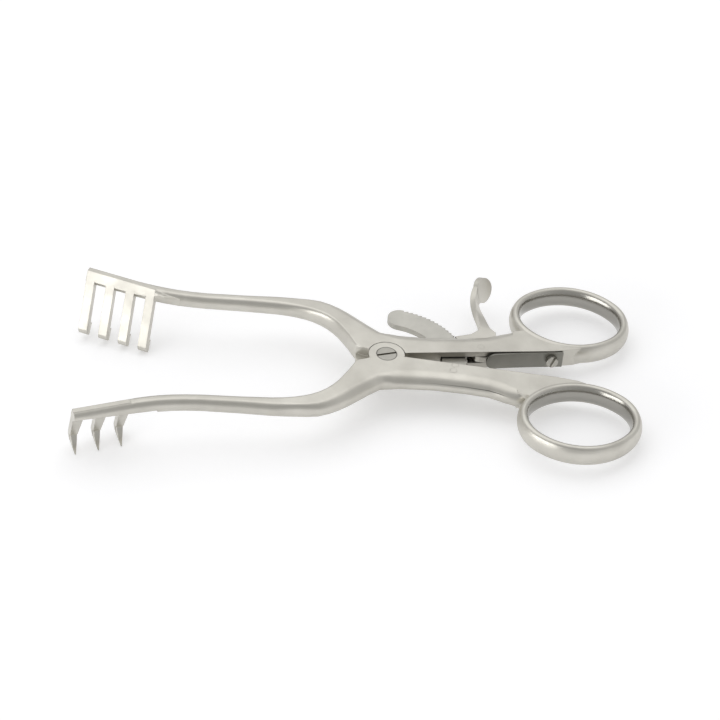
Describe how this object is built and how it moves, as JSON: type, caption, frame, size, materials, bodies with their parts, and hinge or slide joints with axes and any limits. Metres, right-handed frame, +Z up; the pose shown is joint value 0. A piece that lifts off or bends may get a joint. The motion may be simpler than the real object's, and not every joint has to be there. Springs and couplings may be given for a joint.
{
  "type": "self retaining retractor",
  "caption": "Self retaining retractor with crossed ring handles, outward hooked rakes, a curved ratchet bar and a sprung release lever.",
  "frame": {"origin": "centre of the box round the part, on the table it rests on with its prong tips and the ring ends", "axes": "+X from the rakes to the finger rings, +Y towards the arm with four prongs, +Z up"},
  "size_m": [0.1678, 0.0792, 0.0204],
  "materials": {
    "satin_steel": "satin, bead blasted",
    "rack_steel": "satin, ground edges",
    "screw_steel": "fine turned",
    "spring_steel": "dark rolled"
  },
  "bodies": {
    "upper_arm": {"upper_arm": "satin_steel", "pivot_screw": "screw_steel", "lever_pin": "screw_steel", "leaf_spring": "spring_steel", "spring_screw": "screw_steel"},
    "lower_arm": {"lower_arm": "satin_steel", "ratchet_bar": "rack_steel", "ratchet_pins": "screw_steel"},
    "release_lever": {"release_lever": "satin_steel"}
  },
  "joints": [
    {"name": "arm_pivot", "type": "hinge", "parent": "upper_arm", "child": "lower_arm", "pos_m": [0.00977, -0.00108, 0.01069], "axis": [0.0809, 0, 0.9967], "range_deg": [-25, 6]},
    {"name": "lever_pivot", "type": "hinge", "parent": "upper_arm", "child": "release_lever", "pos_m": [0.03798, 0.00482, 0.0084], "axis": [0.0809, 0, 0.9967], "range_deg": [-8, 0], "stiffness_Nm_per_rad": 0.05, "springref_deg": 5.73, "deforming": ["leaf_spring"]}
  ]
}
